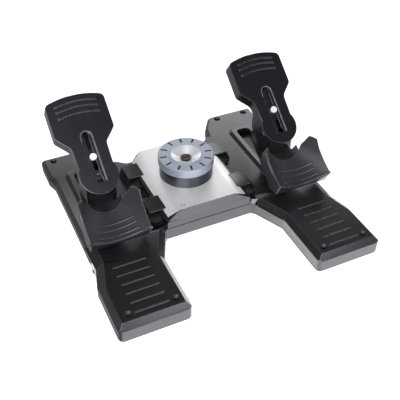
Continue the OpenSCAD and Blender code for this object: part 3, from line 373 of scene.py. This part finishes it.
def flattenRibs(form, r):  # finer bars stand for them
    (near, far), (low, high) = r["aside"], r["tops"]
    for vert in form.verts:
        if near < abs(vert.co.x) < far and vert.co.y < r["front"] and low < vert.co.z < high:
            vert.co.z = r["level"]
    bmesh.ops.remove_doubles(form, verts=form.verts, dist=0.00002)
    bmesh.ops.dissolve_degenerate(form, dist=0.00001, edges=form.edges)


def softenNode(node, name, width, finish=None, edgeFinish=None, crease=26, steps=2, weld=0.00004,
               flatRibs=False, topRound=0, sharp=34, under=None):
    form = bmesh.new()
    form.from_mesh(nodes[node].data)
    if topRound:
        bmesh.ops.remove_doubles(form, verts=form.verts, dist=weld)
        bmesh.ops.dissolve_limit(form, angle_limit=math.radians(1.0), verts=form.verts, edges=form.edges)
        roundTopCorners(form, topRound, plateCorners)
    for face in form.faces:
        face.material_index = 0
    if flatRibs:
        flattenRibs(form, heelRibs)
    softEdges(form, width, crease, steps, weld, bool(edgeFinish), under)
    piece = keepPiece(name, form, node, finish=finish, edgeFinish=edgeFinish, sharp=sharp)
    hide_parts(node)


def underPlate(spot):
    slope, away = math.radians(plateFace["slope"]), spot - point(0, *plateFace["through"])
    return away.z * math.cos(slope) - away.y * math.sin(slope) < -plateFace["backRim"] * millimetre


softened = {
    "top_shell": {"name": "topShell", "width": 0.0007, "edgeFinish": "shellGreyPaintedHighlight", "weld": 0.0001,
                  "flatRibs": True, "sharp": 24},
    "silver_cover": {"name": "silverCover", "width": 0.0004},
}
pedalSoftened = {
    "toe_plate": {"under": underPlate, "topRound": 0.006, "width": 0.0011, "finish": "plateBlack",
                  "edgeFinish": "platePaintedHighlight", "weld": 0.0001},
    "clamp_screw": {"width": 0.0005, "weld": 0.0001},
}
for node, p in softened.items():
    softenNode(node, **p)
for side in ("left", "right"):
    for part, p in pedalSoftened.items():
        softenNode(side + "_" + part, side + "".join(word.title() for word in part.split("_")), **p)
print("edges softened")


def lathe(form, profile, centre, steps=96):  # profile: radius and height, round an upright axis
    rings = []
    for radius, height in profile:
        around = steps if radius > 0 else 1
        rings.append([form.verts.new(point(centre[0] + radius * math.cos(2 * math.pi * i / steps),
                                           centre[1] + radius * math.sin(2 * math.pi * i / steps), height))
                      for i in range(around)])
    for low, high in zip(rings, rings[1:]):
        for i in range(steps):
            j = (i + 1) % steps
            corners = (low[i % len(low)], low[j % len(low)], high[j % len(high)], high[i % len(high)])
            corners = list(dict.fromkeys(corners))  # a point on the axis counts once
            if len(corners) > 2:
                form.faces.new(corners)


# a half-round bar with round ends, sunk into what it is on
def bar(form, path, ups, half, rise, sink=0.4, around=8):
    lengths = [0.0]
    for a, b in zip(path, path[1:]):
        lengths.append(lengths[-1] + (b - a).length)
    whole, half, rise, sink = lengths[-1], half * millimetre, rise * millimetre, sink * millimetre
    ends = [half * (1 - math.cos(k * math.pi / 8)) for k in range(1, 4)]
    stops = sorted(set(lengths + ends + [whole - end for end in ends]))
    rings = []
    for stop in stops:
        k = max(i for i in range(len(path) - 1) if lengths[i] <= stop + 1e-9)
        share = (stop - lengths[k]) / (lengths[k + 1] - lengths[k])
        spot = path[k].lerp(path[k + 1], share)
        ahead = (path[k + 1] - path[k]).normalized()
        side = ahead.cross(ups[k].lerp(ups[k + 1], share)).normalized()
        up = side.cross(ahead)
        near = min(1.0, min(stop, whole - stop) / half)
        swell = max(0.12, math.sqrt(1 - (1 - near) ** 2))
        wide, tall = half * swell, (rise + sink) * swell
        rings.append([form.verts.new(spot - up * sink + side * (wide * math.cos(math.pi * i / around))
                                     + up * (tall * math.sin(math.pi * i / around)))
                      for i in range(around + 1)])
    for low, high in zip(rings, rings[1:]):
        for i in range(around + 1):
            j = (i + 1) % (around + 1)
            form.faces.new((low[i], low[j], high[j], high[i]))
    form.faces.new(rings[0][::-1])
    form.faces.new(rings[-1])


def straightBar(form, start, end, up, half, rise, sink=0.4):
    bar(form, [start, end], [up, up], half, rise, sink)


def tidyForm(form):
    bmesh.ops.recalc_face_normals(form, faces=form.faces)
    return form


# grip bars on the heel rests, in a lighter grey than the shell: a painted highlight along each bar
heelBars = {"first": 19.4, "pitch": 18.75, "count": 6, "reach": (138.0, 188.5), "half": 2.1, "rise": 1.7,
            "top": 34.0}


def makeHeelBars(b):
    form = bmesh.new()
    for sign in (-1, 1):
        for i in range(b["count"]):
            y = b["first"] + i * b["pitch"]
            near, far = sorted(sign * x for x in b["reach"])
            straightBar(form, point(near - b["half"], y, b["top"]), point(far + b["half"], y, b["top"]),
                        upward, b["half"], b["rise"])
    keepPiece("heelBars", tidyForm(form), body="base", slot="shell_grey", finish="shellGreyPaintedHighlight")


makeHeelBars(heelBars)

# countersunk screws: a bright cup round a black hole
screwCups = {
    "heel": {"node": "heel_screws", "name": "heelScrews", "xs": (126.3, 200.0), "y": 19.4, "top": 34.0,
             "out": 7.0},
    "rear": {"node": "rear_screws", "name": "rearScrews", "xs": (137.5, 196.2), "y": 422.0, "top": 24.0,
             "out": 6.0},
}
cupRim = [(-0.1, -3.9), (0.5, -0.4), (0.4, 0.15), (-0.1, 0.2), (-0.7, -0.2)]  # from outer radius and top
cupBore = [(3.7, -2.6), (3.3, -2.9), (3.1, -3.2), (2.9, -6.5), (0, -6.6)]  # radius, and height from the top


def makeScrewCups(c):
    form = bmesh.new()
    for sign in (-1, 1):
        for x in c["xs"]:
            profile = [(c["out"] + wider, c["top"] + rise) for wider, rise in cupRim]
            profile += [(radius, c["top"] + rise) for radius, rise in cupBore]
            lathe(form, profile, (sign * x, c["y"]), 48)
    piece = keepPiece(c["name"], tidyForm(form), c["node"], finish="screwBlack")
    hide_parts(c["node"])


for c in screwCups.values():
    makeScrewCups(c)

# tension dial: grained top, bright dish, dark ticks
dialSizes = {"centre": (0.0, 266.0), "out": 48.0, "low": 71.2, "high": 86.7, "ring": 30.0, "ringRise": 1.0,
             "dish": 24.7, "dishSlope": (19.0, 3.9), "dishDepth": 9.0, "bore": 11.2, "floor": 77.2,
             "spindle": 4.0}
tickSizes = {"count": 12, "phase": 19.4, "out": 45.8, "length": 13.0, "width": 4.8, "rise": 0.3,
             "sink": 0.3}


def makeDial(d, t):
    form = bmesh.new()
    top = d["high"] + d["ringRise"]
    out, low, high, ring, dish, bore = (d[key] for key in ("out", "low", "high", "ring", "dish", "bore"))
    deep = top - d["dishDepth"]
    skirt = [(d["spindle"], low), (out - 1.0, low), (out - 0.2, low + 0.3), (out, low + 1.0),
             (out, high - 1.6), (out - 0.3, high - 0.7), (out - 1.0, high - 0.15), (out - 1.8, high)]
    raised = [(ring + 1.2, high), (ring + 0.5, high + 0.3), (ring + 0.1, top - 0.2), (ring - 0.5, top)]
    hollow = [(dish + 1.0, top), (dish + 0.3, top - 0.15), (dish - 0.4, top - 0.6),
              (d["dishSlope"][0], top - d["dishSlope"][1]), (bore + 1.0, deep + 0.4), (bore, deep)]
    inside = [(bore - 0.2, deep - 0.6), (bore - 0.2, d["floor"]), (d["spindle"], d["floor"]),
              (d["spindle"], low)]
    lathe(form, skirt + raised + hollow + inside, d["centre"], 128)
    bmesh.ops.remove_doubles(form, verts=form.verts, dist=0.000001)
    for face in form.faces:
        middle = face.calc_center_median()
        reach = math.hypot(middle.x, middle.y - (d["centre"][1] + frontEdge) * millimetre)
        face.material_index = int(reach < (dish + 0.8) * millimetre)
    dial = keepPiece("tensionDial", tidyForm(form), "tension_dial", finish="dialSteel",
                     edgeFinish="dishSteel")
    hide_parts("tension_dial")
    marks = bmesh.new()
    for i in range(t["count"]):
        angle = math.radians(t["phase"] + 360 * i / t["count"])
        ahead = Vector((math.cos(angle), math.sin(angle), 0))
        start, end = (point(*d["centre"], high) + ahead * reach * millimetre
                      for reach in (t["out"] - t["length"], t["out"]))
        straightBar(marks, start, end, upward, t["width"] / 2, t["rise"], t["sink"])
    keepPiece("dialTicks", tidyForm(marks), body="dial", slot="screw_black", finish="tickInk")


makeDial(dialSizes, tickSizes)
print("heel bars, screws and dial made")

# cradles: a cone for the ball of the foot, with side walls, grip bars and a rolled lip
cradleSizes = {
    "apex": (258.0, 86.0), "rise": 18.0, "halfAngle": 34.0, "half": 49.0, "top": 105.5,
    "front": (136.0, 76.0), "lean": 14 / 31, "scoop": 38.0, "scoopAt": 95.0, "frame": (143.0, 58.0),
    "limit": 71.0, "search": (4.0, 0.05), "leastBand": 3.0, "wall": 3.5, "rimWidth": 0.8, "rimCrease": 38,
    "floorTurns": 20, "wallTurns": 18, "steps": 14, "skirtSteps": 4,
    "bars": (155.0, 166.0, 176.0), "barHalf": 34.0, "barWide": 2.2, "barRise": 1.7, "barLean": 0.45,
    "lipWide": 2.7, "lipRise": 2.4, "lipIn": 1.2, "lipOut": 1.6, "lipSink": 2.0,
}
# lower edge of the side walls: from the front corner, down to a knee, and up again at the back
skirtFoot = {"front": 150.0, "reach": 62.0, "power": 0.8, "level": 45.0, "dip": 3.0, "knee": 172.0,
             "backRise": 33.5 / 42}
nearZero = 1e-6


class Cone:  # places on the cone in millimetres: distance from the apex and turn from its lowest line
    def __init__(self, c):
        self.c = c
        rise, half = math.radians(c["rise"]), math.radians(c["halfAngle"])
        self.axis = Vector((0, -math.cos(rise), math.sin(rise)))
        self.low = -Vector((0, math.sin(rise), math.cos(rise)))
        self.cosHalf, self.sinHalf = math.cos(half), math.sin(half)
        self.tip = Vector((0, *c["apex"]))

    def out(self, turn):
        return Vector((math.sin(turn), 0, 0)) + self.low * math.cos(turn)

    def ray(self, turn):
        return self.axis * self.cosHalf + self.out(turn) * self.sinHalf

    def up(self, turn):
        return self.axis * self.sinHalf - self.out(turn) * self.cosHalf

    def at(self, reach, turn):
        return self.tip + self.ray(turn) * reach

    def local(self, spot):  # distance back along the cradle's tilted frame
        rise, (y, z) = math.radians(self.c["rise"]), self.c["frame"]
        return (spot.y - y) * math.cos(rise) + (spot.z - z) * math.sin(rise)

    def inner(self, turn):  # where the floor starts, past the scoop for the tower
        c = self.c
        reach, step = c["search"]
        while True:
            spot = self.at(reach, turn)
            back = self.local(spot)
            if spot.x ** 2 + (back - c["scoopAt"]) ** 2 > c["scoop"] ** 2 and back < c["limit"]:
                return reach
            reach += step

    def outer(self, turn):  # where it ends: at the leaning front, a side or the top
        c, ray = self.c, self.ray(turn)
        y, z = c["front"]
        reaches = [(y + (z - self.tip.z) * c["lean"] - self.tip.y) / (ray.y + ray.z * c["lean"])]
        if abs(ray.x) > nearZero:
            reaches.append(c["half"] / abs(ray.x))
        if ray.z > nearZero:
            reaches.append((c["top"] - self.tip.z) / ray.z)
        return min(reaches)

    def onLean(self, y, turn):  # where a leaning plane through the middle line at y meets the cone
        lean, ray = self.c["barLean"], self.ray(turn)
        low = self.ray(0.0)
        height = self.tip.z + (y - self.tip.y) * low.z / low.y
        return ((y - self.tip.y) + lean * (height - self.tip.z)) / (ray.y + lean * ray.z)


def footOf(s, share):  # how far back and how high the lower edge is
    back = s["front"] + s["reach"] * share ** s["power"]
    if back < s["knee"]:
        return back, s["level"] - s["dip"] * min(1, (back - s["front"]) / (s["knee"] - s["front"]))
    return back, s["level"] - s["dip"] + (back - s["knee"]) * s["backRise"]


def cradleRow(cone, c, turn, corner, last):  # one row of points: over the floor and down the skirt
    near, far = cone.inner(abs(turn)), cone.outer(turn)
    row = [cone.at(near + (far - near) * k / c["steps"], turn) for k in range(c["steps"] + 1)]
    edge = row[-1]
    share = max(0.0, (abs(turn) - corner) / (last - corner))
    if share > 0:
        foot = Vector((math.copysign(c["half"], turn), *footOf(skirtFoot, share)))
    else:
        foot = Vector((edge.x, skirtFoot["front"], skirtFoot["level"]))
    for k in range(1, c["skirtSteps"] + 1):
        spot = edge.lerp(foot, k / c["skirtSteps"])
        if share > 0:
            spot.x = foot.x
        row.append(spot)
    return row


def makeCradleShell(side, cone, c, turns, corner, last, shift):
    form = bmesh.new()
    rows = [[form.verts.new(point(*(spot + shift))) for spot in cradleRow(cone, c, turn, corner, last)]
            for turn in turns]
    for first, second in zip(rows, rows[1:]):
        for k in range(len(first) - 1):
            form.faces.new((first[k], second[k], second[k + 1], first[k + 1]))
    tidyForm(form)
    form.faces.ensure_lookup_table()
    if form.faces[len(form.faces) // 2].normal.z < 0:
        bmesh.ops.reverse_faces(form, faces=form.faces)
    # the rim bevels take a light grey: a painted highlight along the cradle's edges
    shell = keepPiece(side + "CradleShell", form, side + "_cradle", finish="cradleGrey",
                      edgeFinish="rimPaintedHighlight")
    shell.modifiers.clear()
    thick = shell.modifiers.new("wall", "SOLIDIFY")
    thick.thickness, thick.offset = c["wall"] * millimetre, -1
    soft = shell.modifiers.new("rims", "BEVEL")
    soft.width, soft.segments, soft.angle_limit = c["rimWidth"] * millimetre, 3, math.radians(c["rimCrease"])
    soft.use_clamp_overlap, soft.material = False, 1
    shell.modifiers.new("flats", "WEIGHTED_NORMAL")
    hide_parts(side + "_cradle")


def makeCradle(side, c):
    cone = Cone(c)
    low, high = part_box(side + "_cradle")
    shift = Vector(((low.x + high.x) / 2 / millimetre, 0, 0))
    # the turn of the last line with a floor, and of the front corner, found in thousandths of a radian
    last = max(k / 1000 for k in range(900, 1900, 5)
               if cone.outer(k / 1000) - cone.inner(k / 1000) > c["leastBand"])
    corner = min(k / 1000 for k in range(300, 1500, 2)
                 if abs(cone.at(cone.outer(k / 1000), k / 1000).x) > c["half"] - 0.001)
    turns = [corner * k / c["floorTurns"] for k in range(c["floorTurns"] + 1)]
    turns += [corner + (last - corner) * k / c["wallTurns"] for k in range(1, c["wallTurns"] + 1)]
    turns = [-turn for turn in turns[:0:-1]] + turns
    makeCradleShell(side, cone, c, turns, corner, last, shift)

    grips = bmesh.new()
    for y in c["bars"]:
        reach = max(k / 500 for k in range(700)
                    if abs(cone.at(cone.onLean(y, k / 500), k / 500).x) < c["barHalf"])
        path = [reach * (k / 14 - 1) for k in range(29)]
        bar(grips, [point(*(cone.at(cone.onLean(y, turn), turn) + shift)) for turn in path],
            [cone.up(turn) for turn in path], c["barWide"], c["barRise"])
    keepPiece(side + "CradleGrips", tidyForm(grips), side + "_cradle", finish="gripGrey")

    lip = bmesh.new()
    path = [corner * (k / 20 - 1) for k in range(41)]
    edge = [cone.at(cone.outer(turn) - c["lipIn"], turn) + shift for turn in path]
    edge[0].x -= c["lipOut"]
    edge[-1].x += c["lipOut"]
    bar(lip, [point(*spot) for spot in edge], [cone.up(turn) for turn in path], c["lipWide"], c["lipRise"],
        c["lipSink"], 12)
    # the lip takes the lighter edge tone: a painted highlight along it
    keepPiece(side + "CradleLip", tidyForm(lip), side + "_cradle", finish="platePaintedHighlight")


for side in ("left", "right"):
    makeCradle(side, cradleSizes)
print("cradles made")

# lips under the front edges of the hoods, in a lighter grey than the shell that paints their highlight, and
# the joint line across the core
hoodLip = {"xs": (58.5, 94.0), "ys": (199.5, 296.5), "back": 0.2, "z": 40.6, "tilt": 0.2, "half": 1.3,
           "rise": 0.9}
coreLine = {"y": 168.5, "half": 0.8, "rise": 0.12, "sink": 0.5,
            "path": [(-62.0, 12.5), (-47.0, 24.5), (-28.0, 25.8), (45.0, 24.8), (62.0, 9.0), (77.0, 6.0)]}


def makeTrim(h, line):
    form = bmesh.new()
    for sign in (-1, 1):
        for y in h["ys"]:
            near, far = (point(x, y + h["back"], h["z"]) for x in sorted(sign * x for x in h["xs"]))
            straightBar(form, near, far, Vector((0, -1, h["tilt"])), h["half"], h["rise"])
    keepPiece("hoodLips", tidyForm(form), body="base", slot="shell_grey", finish="shellGreyPaintedHighlight")
    form = bmesh.new()
    path = [point(x, line["y"], z) for x, z in line["path"]]
    bar(form, path, [Vector((0, -1, 0))] * len(path), line["half"], line["rise"], line["sink"])
    keepPiece("coreJoint", tidyForm(form), body="base", slot="pan_black", finish="seamDark")


makeTrim(hoodLip, coreLine)

# rim round the toe plate's recess, bright from a light grey: a painted highlight along the recess edge
recessRim = {"half": 9.5, "low": -40.0, "round": 35.1, "tail": 8, "steps": 12, "wide": 0.7, "rise": 0.45,
             "sink": 0.6}


def makeRecessRim(side, r, face):
    low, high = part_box(side + "_toe_plate")
    middle = (low.x + high.x) / 2 / millimetre
    slope, half = math.radians(face["slope"]), r["half"]
    along = Vector((0, math.cos(slope), math.sin(slope)))
    up = Vector((0, -math.sin(slope), math.cos(slope)))
    base = Vector((middle, *face["through"]))
    angles = [k * math.pi / r["steps"] for k in range(r["steps"] + 1)]
    spots = [(-half, r["round"] - r["tail"])]
    spots += [(-half * math.cos(angle), r["round"] + half * math.sin(angle)) for angle in angles]
    spots += [(half, r["low"])]
    path = [point(*(base + Vector((x, 0, 0)) + along * s)) for x, s in spots]
    form = bmesh.new()
    bar(form, path, [up] * len(path), r["wide"], r["rise"], r["sink"])
    keepPiece(side + "RecessRim", tidyForm(form), side + "_toe_plate", finish="rimPaintedHighlight")


for side in ("left", "right"):
    makeRecessRim(side, recessRim, plateFace)
print("trim made")

# floor, lamps and surroundings
studio = {
    "floorSize": 7.0, "floorTone": 0.52, "floorVary": 0.02, "floorGlow": 0.90, "floorRough": 0.75,
    "floorShine": 0.2, "floorCloud": 3.0,
    "lamps": {
        "backRight": {"place": (0.50, 1.12, 0.56), "size": (1.7, 0.45), "strength": 2.8},
        "frontRight": {"place": (0.42, -1.27, 0.84), "size": (0.8, 0.4), "strength": 5.0},
        "overLeft": {"place": (-0.78, -1.00, 1.55), "size": (1.3, 1.1), "strength": 8.0},
        "frontTable": {"place": (0.06, -0.27, 0.001), "size": (0.56, 0.44), "strength": 2.1,
                       "aim": (0.06, -0.27, 1.0)},
    },
    "aim": (0, 0, 0.05),
    "sky": [(0.0, 0.50), (0.35, 0.15), (0.66, 0.15), (0.8, 0.10)], "skyTint": (0.97, 0.98, 1.0),
}


def makeFloor(s):
    form = bmesh.new()
    half = s["floorSize"] / 2
    corners = ((-half, -half), (half, -half), (half, half), (-half, half))
    form.faces.new([form.verts.new((x, y, 0)) for x, y in corners])
    mesh = bpy.data.meshes.new("floor")
    form.to_mesh(mesh)
    form.free()
    floor = bpy.data.objects.new("floor", mesh)
    scene.collection.objects.link(floor)
    f = Finish("floorWhite")
    seen = f.add("ShaderNodeLightPath")  # the glow is for the camera alone, so it lights nothing
    white = (1, 1, 1)
    shade = f.mix(f.grain(s["floorCloud"]), tint(white, s["floorTone"]),
                  tint(white, s["floorTone"] + s["floorVary"]))
    board = f.add("ShaderNodeBsdfPrincipled", None,
                  {"Base Color": shade, "Roughness": s["floorRough"], "Specular IOR Level": s["floorShine"]})
    glow = f.add("ShaderNodeEmission", None, {"Strength": seen * s["floorGlow"]})
    mesh.materials.append(f.show(f.add("ShaderNodeAddShader", None, {0: board, 1: glow})))


def makeLamps(s):
    for name, lamp in s["lamps"].items():
        light = bpy.data.lights.new(name, "AREA")
        light.shape = "RECTANGLE"
        light.size, light.size_y = lamp["size"]
        light.energy = lamp["strength"] * math.pi * light.size * light.size_y  # strength is its radiance
        holder = bpy.data.objects.new(name, light)
        scene.collection.objects.link(holder)
        holder.location = lamp["place"]
        aim = Vector(lamp.get("aim", s["aim"])) - Vector(lamp["place"])
        holder.rotation_euler = aim.to_track_quat("-Z", "Y").to_euler()
        holder.visible_camera = False


def makeWorld(s):
    f = Finish("studioWorld", world=True)
    path = f.add("ShaderNodeLightPath")
    up = f.add("ShaderNodeSeparateXYZ", None, {0: f.add("ShaderNodeTexCoord", output=0)}, 2)
    stops = [(stop, tint(s["skyTint"], level)) for stop, level in s["sky"]]  # from the horizon up
    sky = f.add("ShaderNodeValToRGB", {"stops": stops}, {0: up})
    colour = f.mix(path, sky, (1, 1, 1, 1))  # the camera sees white
    scene.world = f.show(f.add("ShaderNodeBackground", None, {"Color": colour, "Strength": 1.0}))


makeFloor(studio)
makeLamps(studio)
makeWorld(studio)
scene.view_settings.view_transform = "Standard"
print("studio set")

bpy.context.view_layer.update()
